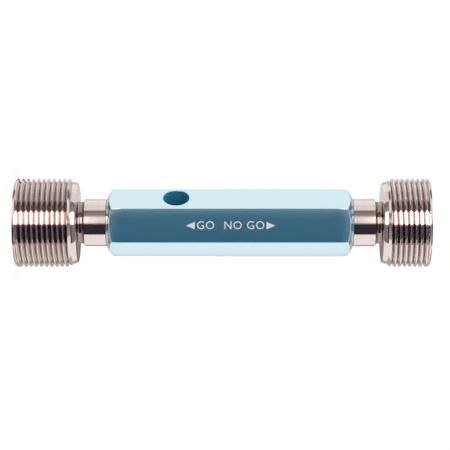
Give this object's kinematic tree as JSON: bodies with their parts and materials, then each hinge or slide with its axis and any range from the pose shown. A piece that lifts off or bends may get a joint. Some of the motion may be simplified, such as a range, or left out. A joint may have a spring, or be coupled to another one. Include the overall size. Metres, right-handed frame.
{
  "type": "thread plug gauge",
  "caption": "Double-ended thread plug gauge: a long GO and a short NO-GO threaded steel member, taper-locked into a blue anodised hexagonal aluminium handle.",
  "frame": {"origin": "centre of the GO member's outer end face, on which the gauge stands", "axes": "+Z along the gauge's axis towards the NO-GO end; the drift hole through the handle runs along Y, its marked neighbour flat faces 30 degrees below +X towards -Y"},
  "size_m": [0.0366, 0.0366, 0.1703],
  "materials": {
    "anodised_handle": "drawn hexagonal bar, bright blue anodised, white marking on one flat",
    "gauge_steel": "hardened tool steel, ground threads, circumferentially ground necks"
  },
  "bodies": {
    "root": {"handle": "anodised_handle", "go_member": "gauge_steel", "nogo_member": "gauge_steel"}
  },
  "joints": []
}
